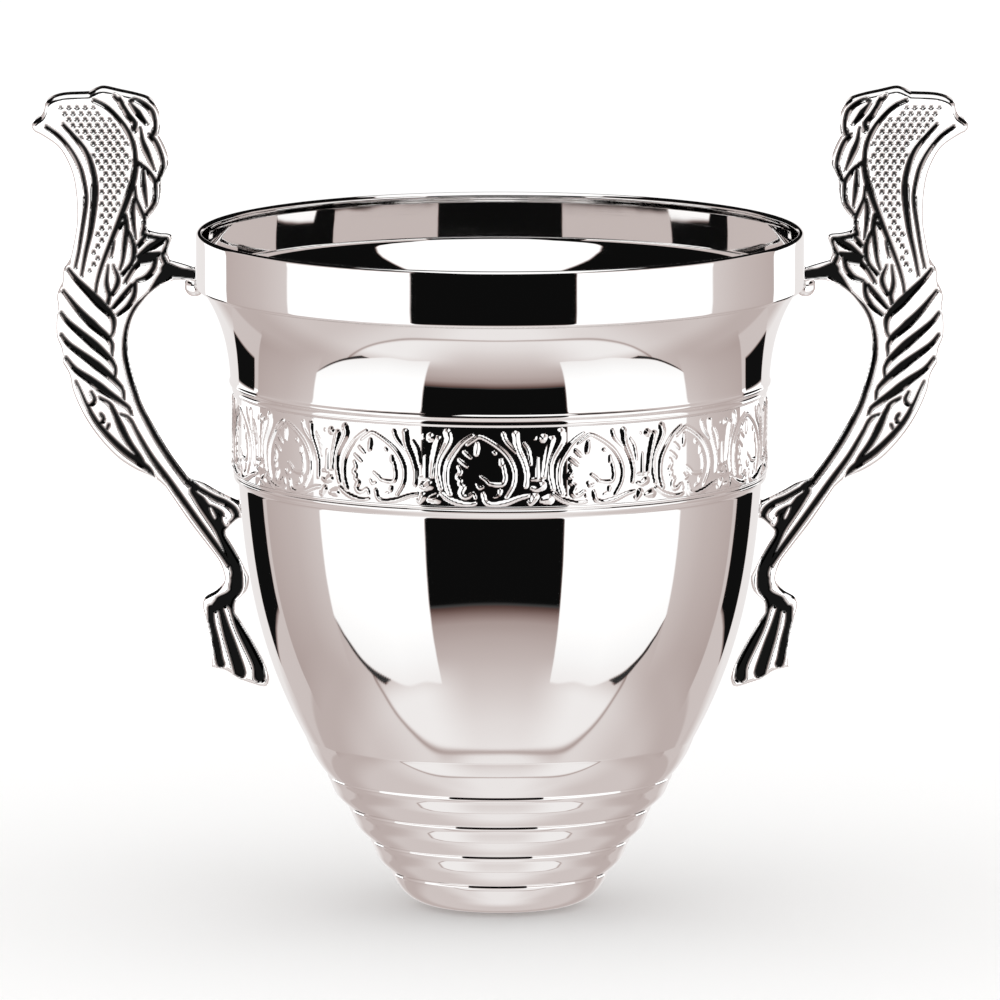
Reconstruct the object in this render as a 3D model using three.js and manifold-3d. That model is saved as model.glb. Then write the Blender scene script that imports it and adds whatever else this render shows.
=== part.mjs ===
// A two-handled cup trophy: a pressed sheet-metal bowl with a flared rim, a band for the frieze and
// four rolled ribs, two cast handles, and the screws and washers that hold the handles on.
// Millimetres, +Z up. The origin is the centre of the flat foot and the handles lie at +X and -X.

import * as THREE from 'three';
import { mergeVertices } from 'three/addons/utils/BufferGeometryUtils.js';
import Module from 'manifold-3d';

const wasm = await Module();
wasm.setup();

// Driving dimensions of the bowl, from the foot up.
const wall = 1.2;
const footFlatRadius = 16;
const footHeight = 8.9;
const ribCount = 3;
const ribPitch = 8.7;
const ribBottomRadius = 28.3;
const ribTopRadius = 45.3;
const bodyHeight = 77.4;
const bodyTopRadius = 68.8;
const friezeHeight = 27.6;
const friezeRadius = 70.5;
const friezeMargin = 3.4; // the plain strip with a bead above and below the frieze
const beadHeight = 1.4;
const beadProud = 0.8;
const neckHeight = 25.5;
const neckCollar = 3.3; // the upright ring at the top of the neck
const rimRadius = 80;
const rimStep = 2; // how far the neck stands in under the rim band
const rimBandHeight = 13.5;
const lipHeight = 2.4; // the hemmed lip
const lipProud = 0.6; // how far the hem stands into the mouth
const bowlSides = 48;

// Driving dimensions of the handles and their fasteners.
const handleThickness = 7;
const edgeRound = 0.8; // the chamfer round a handle's faces
const grooveDepth = 1;
const ballRadius = 2.8;
const seatClearance = 0.3; // between parts that touch
const screwRadius = 1.25;
const screwReach = 4.2; // thread length inside a handle
const headRadius = 2;
const headHeight = 1.6;
const slotWidth = 0.7;
const slotDepth = 0.7;
const washerRadius = 2.4;
const washerThickness = 0.5;
const holeClearance = 0.35; // radial, round a screw
const fastenerSides = 20;

// Heights that follow from the stack of zones.
const ribsTop = footHeight + ribCount * ribPitch;
const bodyTop = ribsTop + bodyHeight;
const friezeTop = bodyTop + friezeHeight;
const neckTop = friezeTop + neckHeight;
const bowlHeight = neckTop + rimBandHeight;
const neckTopRadius = rimRadius - rimStep;

const silver = { color: 0xcfcac8, metalness: 1 };
const materials = {
  bowl: new THREE.MeshStandardMaterial({ ...silver, roughness: 0.06 }),
  handle: new THREE.MeshStandardMaterial({ ...silver, roughness: 0.16 }),
  fastener: new THREE.MeshStandardMaterial({ color: 0xb8b8ba, metalness: 1, roughness: 0.35 }),
};

// --- solids -----------------------------------------------------------------------------------

function toSolid(geometry) {
  const bare = geometry.clone();
  bare.deleteAttribute('normal');
  bare.deleteAttribute('uv');
  const merged = mergeVertices(bare, 1e-4);
  return new wasm.Manifold(new wasm.Mesh({
    numProp: 3,
    vertProperties: new Float32Array(merged.attributes.position.array),
    triVerts: new Uint32Array(merged.index.array),
  }));
}

function toGeometry(solid) {
  const mesh = solid.getMesh();
  const geometry = new THREE.BufferGeometry();
  geometry.setAttribute('position', new THREE.BufferAttribute(mesh.vertProperties, 3));
  geometry.setIndex(new THREE.BufferAttribute(mesh.triVerts, 1));
  geometry.computeVertexNormals();
  return geometry;
}

// A solid of revolution about Z. One flat side faces each handle, so that a handle's end lies on it.
function turned(profile, sides) {
  const points = profile.map(([r, z]) => new THREE.Vector2(r, z));
  const geometry = new THREE.LatheGeometry(points, sides);
  geometry.rotateX(Math.PI / 2);
  geometry.rotateZ(Math.PI / sides);
  return geometry;
}

// A cylinder along X, from x = from to x = to.
function rod(radius, from, to, z, sides = fastenerSides) {
  const geometry = new THREE.CylinderGeometry(radius, radius, to - from, sides);
  geometry.rotateZ(Math.PI / 2);
  geometry.translate((from + to) / 2, 0, z);
  return geometry;
}

function bezier(from, controlA, controlB, to, steps) {
  const ends = [from, controlA, controlB, to].map(([r, z]) => new THREE.Vector2(r, z));
  return new THREE.CubicBezierCurve(...ends).getPoints(steps).map((p) => [p.x, p.y]);
}

// --- bowl -------------------------------------------------------------------------------------

const footCurve = bezier(
  [footFlatRadius, 0],
  [footFlatRadius + 8, 0],
  [ribBottomRadius - 0.7, footHeight * 0.55],
  [ribBottomRadius, footHeight],
  4,
);

function creaseRadius(index) {
  return ribBottomRadius + (ribTopRadius - ribBottomRadius) * index / ribCount;
}

// A rib swells out above its crease and stands nearly upright below the next one.
function ribCurve(index) {
  const low = footHeight + index * ribPitch;
  const from = new THREE.Vector2(creaseRadius(index), low);
  const to = new THREE.Vector2(creaseRadius(index + 1), low + ribPitch);
  const swell = new THREE.Vector2(to.x - 0.1, low + 0.55 * ribPitch);
  return new THREE.QuadraticBezierCurve(from, swell, to).getPoints(3).map((p) => [p.x, p.y]);
}

const bodyCurve = bezier(
  [ribTopRadius, ribsTop],
  [ribTopRadius + 17.5, ribsTop + 0.35 * bodyHeight],
  [bodyTopRadius - 2, ribsTop + 0.64 * bodyHeight],
  [bodyTopRadius, bodyTop],
  8,
);

const neckCurve = bezier(
  [friezeRadius + 0.5, friezeTop],
  [friezeRadius + 0.7, friezeTop + 0.4 * neckHeight],
  [friezeRadius + 2.5, friezeTop + 0.7 * neckHeight],
  [neckTopRadius, neckTop - neckCollar],
  5,
);

// A half-round bead rolled into the sheet.
function bead(middle) {
  return [-1, -0.5, 0.5, 1].map((step) => [
    friezeRadius + beadProud * Math.sqrt(1 - step * step),
    middle + step * beadHeight / 2,
  ]);
}

const lowerBead = bodyTop + friezeMargin / 2;
const upperBead = friezeTop - friezeMargin / 2;

const outerWall = [
  ...footCurve,
  ...ribCurve(0).slice(1),
  ...ribCurve(1).slice(1),
  ...ribCurve(2).slice(1),
  ...bodyCurve.slice(1),
  ...bead(lowerBead),
  ...bead(upperBead),
  ...neckCurve,
  [neckTopRadius, neckTop],
  [rimRadius, neckTop + 0.3],
  [rimRadius, bowlHeight - 0.6],
  [rimRadius - 0.3, bowlHeight - 0.1],
  [rimRadius - 0.8, bowlHeight],
];

// The inside follows the creases of the ribs and passes straight behind the frieze.
function inward(curve) {
  return curve.map(([r, z]) => [r - wall, z]);
}

const innerWall = [
  [0, wall],
  [footFlatRadius, wall],
  [ribBottomRadius - 1.5 * wall, footHeight],
  [ribTopRadius - 1.5 * wall, ribsTop],
  ...inward(bodyCurve.slice(1)),
  [friezeRadius - wall, bodyTop + friezeMargin],
  ...inward(neckCurve),
  [neckTopRadius - wall, neckTop + 1.9],
  [rimRadius - wall, neckTop + 3.8],
  [rimRadius - wall, bowlHeight - lipHeight],
  [rimRadius - wall - lipProud, bowlHeight - 0.7 * lipHeight],
  [rimRadius - wall - lipProud, bowlHeight - 0.3 * lipHeight],
  [rimRadius - wall, bowlHeight],
];

// The outer radius of the bowl at a height.
function outerRadiusAt(z) {
  const above = outerWall.findIndex((point) => point[1] >= z);
  const [low, high] = [outerWall[above - 1], outerWall[above]];
  return low[0] + (high[0] - low[0]) * (z - low[1]) / (high[1] - low[1]);
}

// Where the handles are held: a ball boss on the neck's collar and a branch under the frieze.
function seatAt(z) {
  const edges = [z - washerRadius, z, z + washerRadius].map(outerRadiusAt);
  return { z, radius: outerRadiusAt(z), inside: Math.min(...edges) - wall };
}

const seats = {
  upper: seatAt(neckTop - 0.7),
  lower: seatAt(bodyTop - 7.2),
};

function screwHoles() {
  const holes = [];
  for (const seat of Object.values(seats)) {
    const radius = screwRadius + holeClearance;
    const inside = seat.radius - 3 * wall;
    const outside = seat.radius + 3 * wall;
    holes.push(toSolid(rod(radius, inside, outside, seat.z)));
    holes.push(toSolid(rod(radius, -outside, -inside, seat.z)));
  }
  return holes;
}

function makeBowl() {
  let bowl = toSolid(turned([...innerWall, ...[...outerWall].reverse(), [0, 0]].reverse(), bowlSides));
  for (const hole of screwHoles()) {
    bowl = bowl.subtract(hole);
  }
  return toGeometry(bowl);
}

// The space that a handle keeps clear of: the bowl's outer shape, grown outward by the clearance
// and, so that the rim band's underside is cleared too, lowered by it.
function bowlSpace() {
  const [beside, below] = [0, seatClearance].map((drop) => {
    const grown = outerWall.map(([r, z]) => [r + seatClearance, z - drop]);
    return toSolid(turned([[0, -drop], ...grown, [0, bowlHeight - drop]], bowlSides));
  });
  return beside.add(below);
}

// --- handles ----------------------------------------------------------------------------------

// The handle's drawing gives each point as [out from the cup's axis, up from its foot]. These are
// the places in the drawing that land on the two seats, and the rest of the drawing follows them.
const drawnSeats = { upper: [78, 164.8], lower: [68.5, 105.2] };

function placed([out, up]) {
  const { upper, lower } = drawnSeats;
  const share = (up - lower[1]) / (upper[1] - lower[1]);
  const shiftLow = seats.lower.radius - lower[0];
  const shiftHigh = seats.upper.radius - upper[0];
  const z = seats.lower.z + share * (seats.upper.z - seats.lower.z);
  return new THREE.Vector2(out + shiftLow + share * (shiftHigh - shiftLow), z);
}

// One smooth stretch through the drawing's points.
function smooth(points, steps) {
  return new THREE.SplineCurve(points.map(placed)).getPoints(steps ?? 2 * points.length);
}

// The outline, in stretches that meet at its corners.
const outline = [
  smooth([[123.4, 207], [121, 209.8], [119.2, 213.7], [115.2, 215.5], [108.2, 215.9]], 8),
  smooth([[108.2, 215.9], [104, 217.4], [95.4, 215.5], [91, 213.5], [89.2, 208], [89.7, 204.8]], 9),
  smooth([[89.7, 204.8], [87.4, 200], [87.4, 196.2], [89.1, 191], [90.1, 186], [92.9, 182]], 9),
  smooth([[92.9, 182], [92.4, 179.8], [89.8, 178.8], [86.5, 178.2], [87.5, 174.2], [86.8, 171.5]], 9),
  smooth([[86.8, 171.5], [83.2, 170.5], [79, 169.2]], 3),
  smooth([[79, 166], [83.2, 166.3], [89.8, 164.5], [96.4, 156.9], [97.7, 147.1], [94.1, 133.4],
    [86.3, 119.6], [81.9, 113.6]], 14),
  smooth([[81.9, 113.6], [78.2, 112.5], [73.7, 110], [67, 106.8]], 4),
  smooth([[67, 102.8], [71.6, 100.4], [72.2, 98.7], [69.6, 94.2], [66.2, 87], [66.9, 83.6],
    [69.6, 80.8], [69.9, 77.9]], 14),
  smooth([[69.9, 77.9], [63.6, 67.2], [61, 61.2], [62.1, 58.1], [65.6, 59]], 8),
  smooth([[65.6, 59], [69.1, 60.3], [72.2, 62.4], [76.2, 63.4]], 4),
  smooth([[76.2, 63.4], [76.3, 69.2], [78.4, 79.4], [77.9, 82], [74.7, 84], [72.9, 87], [74.2, 91.6],
    [82.2, 102.3], [88.3, 111.4]], 16),
  smooth([[88.3, 111.4], [96.4, 116.1], [106.4, 125.2], [112.5, 136.5], [113.5, 141],
    [115.4, 144.5]], 10),
  smooth([[115.4, 144.5], [116.9, 155], [116.7, 162], [113.5, 171.6], [111.5, 182.5], [111.8, 190],
    [113, 195.6], [116, 201.2], [120.2, 204.6]], 14),
];

// Grooves: a centre line, its width, and how many steps it takes.
const grooves = [
  { width: 0.9, steps: 7, line: [[119.3, 207.4], [112.4, 200.5], [109, 188.5], [111.7, 170]] },
  { width: 1.5, steps: 8, line: [[114.6, 207.8], [109.2, 201.3], [106.5, 190], [107.8, 178.8],
    [110.1, 167.8]] },
  { width: 1.3, steps: 9, line: [[106.6, 214.3], [100.9, 210.3], [96.5, 202.9], [96, 194.8],
    [100.2, 182.1], [106.4, 163.2]] },
  // the border inside the long arm
  { width: 1.1, steps: 9, line: [[92.1, 162.9], [97.8, 155.2], [98.6, 146.5], [94.3, 132.1],
    [86.5, 118.5]] },
  // the diagonal straps
  { width: 1.6, steps: 6, line: [[113.3, 169], [107.8, 163.2], [102.4, 157.7], [102.5, 151.6]] },
  { width: 1.6, steps: 6, line: [[114.6, 163.5], [106.4, 154.3], [102.7, 150.9], [102.1, 146.8]] },
  { width: 1.6, steps: 6, line: [[115.2, 157.8], [107.8, 150.5], [102.4, 145.4], [101.4, 140.6]] },
  { width: 1.6, steps: 6, line: [[115.2, 152], [107.8, 145.4], [100.8, 139.4], [99, 135.1]] },
  { width: 1.5, steps: 6, line: [[113.9, 145.9], [107.8, 140.2], [99.7, 134.2], [97, 131]] },
  // the long veins below them
  { width: 1.2, steps: 6, line: [[111.4, 139.4], [105.9, 128.3], [98.2, 120.4], [92.4, 116.1]] },
  { width: 1.3, steps: 4, line: [[105.4, 135.1], [101.6, 131.5], [96.6, 121.3]] },
  { width: 1.2, steps: 7, line: [[99.7, 130.7], [91.9, 119.7], [84.1, 108.7], [77.2, 99.1],
    [71.3, 90.8]] },
  // the slits of the leaves
  { width: 1.2, steps: 3, line: [[96.6, 213.6], [92.9, 208.4]] },
  { width: 1.2, steps: 3, line: [[94.4, 206.8], [92.2, 201], [90.8, 195.9]] },
  { width: 1.1, steps: 3, line: [[93.7, 195.9], [92.9, 186.1]] },
  { width: 1.2, steps: 3, line: [[98.6, 180.3], [99.9, 169.6]] },
  // the lower branch and the claws
  { width: 2.2, steps: 5, line: [[81.4, 111.4], [74, 106.6], [72.8, 102.6]] },
  { width: 1.9, steps: 4, line: [[70, 90.5], [69.2, 85.4], [73.4, 81.2]] },
  { width: 1.5, steps: 4, line: [[76.5, 78.2], [75.6, 70], [73.8, 65.4]] },
  { width: 1.8, steps: 4, line: [[74.2, 79.2], [71.4, 70.4], [68.9, 63]] },
  { width: 1.9, steps: 4, line: [[70.9, 79.4], [67, 69.8], [63.6, 61.5]] },
];

// The outline of a groove: its centre line widened to both sides, with pointed ends.
function ribbon({ line, width, steps }) {
  const centre = smooth(line, steps);
  const left = [];
  const right = [];
  for (let i = 1; i < centre.length - 1; i += 1) {
    const along = centre[i + 1].clone().sub(centre[i - 1]).normalize();
    const across = new THREE.Vector2(-along.y, along.x).multiplyScalar(width / 2);
    left.push(centre[i].clone().add(across));
    right.push(centre[i].clone().sub(across));
  }
  return new THREE.Shape([centre[0], ...left, centre.at(-1), ...right.reverse()]);
}

// A flat drawing, thickened about the handle's middle plane from y = -far to y = -near.
function slab(shape, near, far, bevel = 0) {
  const geometry = new THREE.ExtrudeGeometry(shape, {
    depth: far - near - 2 * bevel,
    bevelEnabled: bevel > 0,
    bevelSize: bevel,
    bevelThickness: bevel,
    bevelOffset: -bevel,
    bevelSegments: 1,
    curveSegments: 1,
  });
  geometry.translate(0, 0, near + bevel);
  geometry.rotateX(Math.PI / 2);
  return geometry;
}

function outlineShape() {
  const points = outline.flatMap((stretch) => stretch);
  return new THREE.Shape(points.filter((p, i) => i === 0 || p.distanceTo(points[i - 1]) > 0.01));
}

function makeRightHandle() {
  const half = handleThickness / 2;
  const ball = new THREE.SphereGeometry(ballRadius, 16, 10);
  ball.translate(seats.upper.radius + 0.9 * ballRadius, 0, seats.upper.z);
  let handle = toSolid(slab(outlineShape(), -half, half, edgeRound)).add(toSolid(ball));
  for (const groove of grooves) {
    const shape = ribbon(groove);
    handle = handle.subtract(toSolid(slab(shape, half - grooveDepth, half + 1)));
    handle = handle.subtract(toSolid(slab(shape, -half - 1, grooveDepth - half)));
  }
  handle = handle.subtract(bowlSpace());
  for (const seat of Object.values(seats)) {
    const tip = seat.radius + screwReach + holeClearance;
    handle = handle.subtract(toSolid(rod(screwRadius + holeClearance, seat.radius - wall, tip, seat.z)));
  }
  return handle;
}

// --- fasteners --------------------------------------------------------------------------------

// The flat of the bowl's inner wall that a washer lies against.
function innerFlat(seat) {
  return seat.inside * Math.cos(Math.PI / bowlSides) - seatClearance;
}

function makeScrew(seat) {
  const under = innerFlat(seat) - washerThickness - seatClearance;
  const shank = toSolid(rod(screwRadius, under - 0.2, seat.radius + screwReach, seat.z));
  const head = toSolid(rod(headRadius, under - headHeight, under, seat.z));
  const slot = new THREE.BoxGeometry(slotDepth * 2, slotWidth, headRadius * 3);
  slot.translate(under - headHeight, 0, seat.z);
  return shank.add(head).subtract(toSolid(slot));
}

function makeWasher(seat) {
  const face = innerFlat(seat);
  const disc = toSolid(rod(washerRadius, face - washerThickness, face, seat.z));
  const bore = rod(screwRadius + holeClearance, face - 2 * washerThickness, face + 1, seat.z);
  return disc.subtract(toSolid(bore));
}

// --- assembly ---------------------------------------------------------------------------------

const group = new THREE.Group();

function addPiece(name, geometry, material) {
  const mesh = new THREE.Mesh(geometry, material);
  mesh.name = name;
  group.add(mesh);
}

// Adds a piece at +X and its mirror image at -X.
function addPair(name, solid, material) {
  addPiece(`${name}_right`, toGeometry(solid), material);
  addPiece(`${name}_left`, toGeometry(solid.mirror([1, 0, 0])), material);
}

addPiece('bowl', makeBowl(), materials.bowl);
addPair('handle', makeRightHandle(), materials.handle);
for (const [name, seat] of Object.entries(seats)) {
  addPair(`${name}_screw`, makeScrew(seat), materials.fastener);
  addPair(`${name}_washer`, makeWasher(seat), materials.fastener);
}

export default group;
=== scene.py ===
"""The visible model of a two-handled cup trophy, its floor, studio light and camera. Metres, +Z up."""
import math

import bpy
import numpy as np
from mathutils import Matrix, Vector


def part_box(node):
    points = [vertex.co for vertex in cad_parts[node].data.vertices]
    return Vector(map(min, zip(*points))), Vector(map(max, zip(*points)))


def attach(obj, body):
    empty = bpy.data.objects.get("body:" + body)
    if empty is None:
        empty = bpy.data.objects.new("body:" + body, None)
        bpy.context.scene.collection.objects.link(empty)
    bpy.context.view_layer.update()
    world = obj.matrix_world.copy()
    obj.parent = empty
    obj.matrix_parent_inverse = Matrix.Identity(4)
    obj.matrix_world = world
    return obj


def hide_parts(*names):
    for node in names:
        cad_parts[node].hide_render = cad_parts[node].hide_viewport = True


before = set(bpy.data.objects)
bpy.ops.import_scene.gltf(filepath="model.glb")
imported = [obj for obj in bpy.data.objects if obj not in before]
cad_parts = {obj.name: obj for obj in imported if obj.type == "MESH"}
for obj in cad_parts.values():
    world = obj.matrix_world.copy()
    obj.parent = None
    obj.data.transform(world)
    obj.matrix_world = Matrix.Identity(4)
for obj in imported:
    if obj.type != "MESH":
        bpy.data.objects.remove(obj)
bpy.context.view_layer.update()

MM = 0.001  # the outlines below are drawn in millimetres

# ---- Sizes in millimetres ----

BOWL_LOW, BOWL_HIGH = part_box("bowl")
HANDLE_LOW, HANDLE_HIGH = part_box("handle_right")
BOWL_HEIGHT = (BOWL_HIGH[2] - BOWL_LOW[2]) / MM
HANDLE_THICKNESS = (HANDLE_HIGH[1] - HANDLE_LOW[1]) / MM
RIM_RADIUS = 80.0
WALL = 1.2
FOOT_FLAT_RADIUS = 16.0
FOOT_HEIGHT = 8.9
RIB_COUNT = 3
RIB_PITCH = 8.7
RIB_BOTTOM_RADIUS = 28.3
RIB_TOP_RADIUS = 45.3
SHOULDER_HEIGHT = 9.6  # the body's own lowest bulge, over the ribs
BODY_HEIGHT = 77.4
BODY_TOP_RADIUS = 68.8
FRIEZE_HEIGHT = 27.6
FRIEZE_RADIUS = 70.5
FRIEZE_MARGIN = 3.4  # the plain strip with the beads, under and over the frieze
NECK_HEIGHT = 25.5
RIM_STEP = 2.0  # how far the rim band stands out past the neck
LIP_HEIGHT = 2.4
LIP_PROUD = 0.6  # how far the hemmed lip stands in past the wall

RIBS_TOP = FOOT_HEIGHT + RIB_COUNT * RIB_PITCH
BODY_TOP = RIBS_TOP + BODY_HEIGHT
FRIEZE_TOP = BODY_TOP + FRIEZE_HEIGHT
NECK_TOP = FRIEZE_TOP + NECK_HEIGHT
NECK_TOP_RADIUS = RIM_RADIUS - RIM_STEP
FRIEZE_LOW = BODY_TOP + FRIEZE_MARGIN
FRIEZE_HIGH = FRIEZE_TOP - FRIEZE_MARGIN
GROUND_RADIUS = FRIEZE_RADIUS - 0.3  # the ground of the frieze's relief
SHELL_BEHIND = 0.5  # how far the shell passes behind that ground


# ---- Curves ----

def bezier(p0, p1, p2, p3, count):
    """Points of a cubic Bezier curve."""
    t = np.linspace(0, 1, count)[:, None]
    a, b, c, d = (np.array(p, float) for p in (p0, p1, p2, p3))
    return (1 - t) ** 3 * a + 3 * t * (1 - t) ** 2 * b + 3 * t * t * (1 - t) * c + t ** 3 * d


def spline(points, spacing):
    """A smooth (Catmull-Rom) curve through points, sampled about every spacing."""
    p = np.array(points, float)
    if len(p) == 2:
        count = max(2, int(np.linalg.norm(p[1] - p[0]) / spacing) + 1)
        return p[0] + np.linspace(0, 1, count)[:, None] * (p[1] - p[0])
    padded = np.vstack([2 * p[0] - p[1], p, 2 * p[-1] - p[-2]])
    out = []
    for i in range(len(p) - 1):
        a, b, c, d = padded[i:i + 4]
        count = max(2, int(np.linalg.norm(c - b) / spacing) + 1)
        t = np.linspace(0, 1, count, endpoint=False)[:, None]
        out.append(0.5 * (2 * b + (c - a) * t + (2 * a - 5 * b + 4 * c - d) * t ** 2
                          + (3 * b - a - 3 * c + d) * t ** 3))
    return np.vstack([*out, p[-1:]])


def resampled(points, spacing):
    """The same line with evenly spaced points."""
    steps = np.linalg.norm(np.diff(points, axis=0), axis=1)
    along = np.concatenate([[0], np.cumsum(steps)])
    even = np.linspace(0, along[-1], max(2, int(round(along[-1] / spacing)) + 1))
    return np.stack([np.interp(even, along, points[:, k]) for k in range(points.shape[1])], axis=1)


def bell(sigma, spacing):
    """The weights of a Gaussian blur, and how many steps it reaches to each side."""
    reach = int(4 * sigma / spacing)
    weights = np.exp(-0.5 * (np.arange(-reach, reach + 1) * spacing / sigma) ** 2)
    return weights / weights.sum(), reach


def softened(points, sigma, spacing):
    """A line whose corners are rounded off to about sigma."""
    line = resampled(points, spacing)
    weights, reach = bell(sigma, spacing)
    before = 2 * line[0] - line[reach:0:-1]
    after = 2 * line[-1] - line[-2:-reach - 2:-1]
    wide = np.vstack([before, line, after])
    return np.stack([np.convolve(wide[:, k], weights, "valid") for k in range(2)], axis=1)


def thinned(points, tolerance, longest):
    """The indices of the points that a line needs to stay within tolerance."""
    keep = [0]
    while keep[-1] < len(points) - 1:
        start = keep[-1]
        best = start + 1
        for end in range(start + 2, len(points)):
            chord = points[end] - points[start]
            length = np.linalg.norm(chord)
            between = points[start + 1:end] - points[start]
            off = np.abs(between[:, 0] * chord[1] - between[:, 1] * chord[0]) / length
            if length > longest or off.max() > tolerance:
                break
            best = end
        keep.append(best)
    return keep


# ---- Meshes ----

def new_object(name, data):
    """An object in the scene that holds a mesh, a light or a camera."""
    obj = bpy.data.objects.new(name, data)
    bpy.context.scene.collection.objects.link(obj)
    return obj


def make_object(name, vertices, faces, normals, attributes=None):
    """A smooth-shaded object from vertices in millimetres."""
    mesh = bpy.data.meshes.new(name)
    mesh.from_pydata((np.asarray(vertices) * MM).tolist(), [], [list(map(int, f)) for f in faces])
    mesh.polygons.foreach_set("use_smooth", [True] * len(mesh.polygons))
    for key, values in (attributes or {}).items():
        layer = mesh.attributes.new(key, "FLOAT", "POINT")
        layer.data.foreach_set("value", np.asarray(values, np.float32))
    mesh.update()
    mesh.normals_split_custom_set_from_vertices([tuple(n) for n in normals])
    return new_object(name, mesh)


def ring_faces(low, high, sides):
    """The quads between two rings of vertices, from the first index of each."""
    j = np.arange(sides)
    k = (j + 1) % sides
    return np.stack([low + j, low + k, high + k, high + j], axis=1).tolist()


def lathe(name, profile, sides, tangents):
    """A closed solid of revolution. The profile runs up the outside, over the lip and down inside."""
    n = len(profile)
    outward = np.stack([tangents[:, 1], -tangents[:, 0]], axis=1)
    outward /= np.linalg.norm(outward, axis=1)[:, None]
    angle = np.arange(sides) * 2 * np.pi / sides
    ring = np.stack([np.cos(angle), np.sin(angle)], axis=1)
    vertices, normals = [], []
    for (r, z), (nr, nz) in zip(profile[1:-1], outward[1:-1]):
        vertices.append(np.column_stack([r * ring, np.full(sides, z)]))
        normals.append(np.column_stack([nr * ring, np.full(sides, nz)]))
    vertices = np.vstack([*vertices, [[0, 0, profile[0][1]]], [[0, 0, profile[-1][1]]]])
    normals = np.vstack([*normals, [[0, 0, outward[0][1]]], [[0, 0, outward[-1][1]]]])
    faces = []
    for i in range(n - 3):
        faces.extend(ring_faces(i * sides, (i + 1) * sides, sides))
    first, last = len(vertices) - 2, len(vertices) - 1
    top = (n - 3) * sides
    for a in range(sides):
        b = (a + 1) % sides
        faces.extend([[first, b, a], [last, top + a, top + b]])
    return make_object(name, vertices, faces, normals)


def smoothstep(low, high, x):
    """A soft step, from 0 where x is low to 1 where it is high."""
    t = np.clip((x - low) / (high - low), 0, 1)
    return t * t * (3 - 2 * t)


# ---- Bowl ----

# How fast a rib draws in, at shares of its height down from the crease over it: a fine groove, a
# small lip, a flatter stretch, and then the swell down to the next crease.
RIB_SHARES = (0, 0.035, 0.08, 0.13, 0.21, 0.46, 0.58, 0.72, 1.0)
RIB_SLOPES = (-0.55, -0.4, 0.58, 0.58, 0.36, 0.4, 0.62, 0.92, 1.2)
RIB_STEPS = 88

# The beads beside the frieze: height in their margin, half width, how proud they stand.
BEADS_UNDER = ((1.5, 0.9, 0.6), (2.9, 0.3, 0.2))
BEADS_OVER = ((0.7, 0.3, 0.2), (2.7, 0.8, 0.62))

BOWL_SIDES = 200
CORNER_ROUND = 0.17
LINE_STEP = 0.06
LINE_TOLERANCE = 0.004  # how far the mesh may stray from the rounded line
LONGEST_STEP = 3.0


def rib_curve(index):
    """One rounded rib, from the crease under it to the crease over it."""
    low = FOOT_HEIGHT + index * RIB_PITCH
    r0, r1 = (RIB_BOTTOM_RADIUS + (RIB_TOP_RADIUS - RIB_BOTTOM_RADIUS) * k / RIB_COUNT
              for k in (index, index + 1))
    down = np.linspace(0, 1, RIB_STEPS)
    slope = np.interp(down, RIB_SHARES, RIB_SLOPES)
    drawn = np.concatenate([[0], np.cumsum((slope[1:] + slope[:-1]) / 2)])
    radius = r1 - (r1 - r0) * drawn / drawn[-1]
    return np.column_stack([radius, low + RIB_PITCH * (1 - down)])[::-1]


def body_curve():
    """The body's long curve, which ends in a shallow bulge over the top rib."""
    long_curve = bezier(
        (RIB_TOP_RADIUS, RIBS_TOP),
        (RIB_TOP_RADIUS + 17.5, RIBS_TOP + 0.35 * BODY_HEIGHT),
        (BODY_TOP_RADIUS - 2, RIBS_TOP + 0.64 * BODY_HEIGHT),
        (BODY_TOP_RADIUS, BODY_TOP), 90)
    long_curve = long_curve[long_curve[:, 1] > RIBS_TOP + SHOULDER_HEIGHT]
    r1, top = long_curve[0]
    bulge = bezier((RIB_TOP_RADIUS, RIBS_TOP), (RIB_TOP_RADIUS + 2.9, RIBS_TOP + 2.9),
                   (r1 - 0.9, top - 2.7), (r1, top), 30)
    return np.vstack([bulge, long_curve[1:]])


BODY_CURVE = body_curve()
NECK_CURVE = bezier(
    (FRIEZE_RADIUS + 0.5, FRIEZE_TOP),
    (FRIEZE_RADIUS + 0.92, FRIEZE_TOP + 8.1),
    (FRIEZE_RADIUS + 2.67, FRIEZE_TOP + 16.1),
    (NECK_TOP_RADIUS + 0.05, NECK_TOP - 2.0), 60)


def margin_line(low, high, beads):
    """A margin of the frieze from one (radius, height) to another, with its half-round beads."""
    t = np.linspace(0, 1, 80)[:, None]
    line = np.array(low) + (np.array(high) - low) * t
    out = line.copy()
    for middle, half, proud in beads:
        step = np.clip(np.abs(line[:, 1] - (low[1] + middle)) / half, 0, 1)
        out[:, 0] += proud * np.sqrt(1 - step ** 2)
    return out


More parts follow.
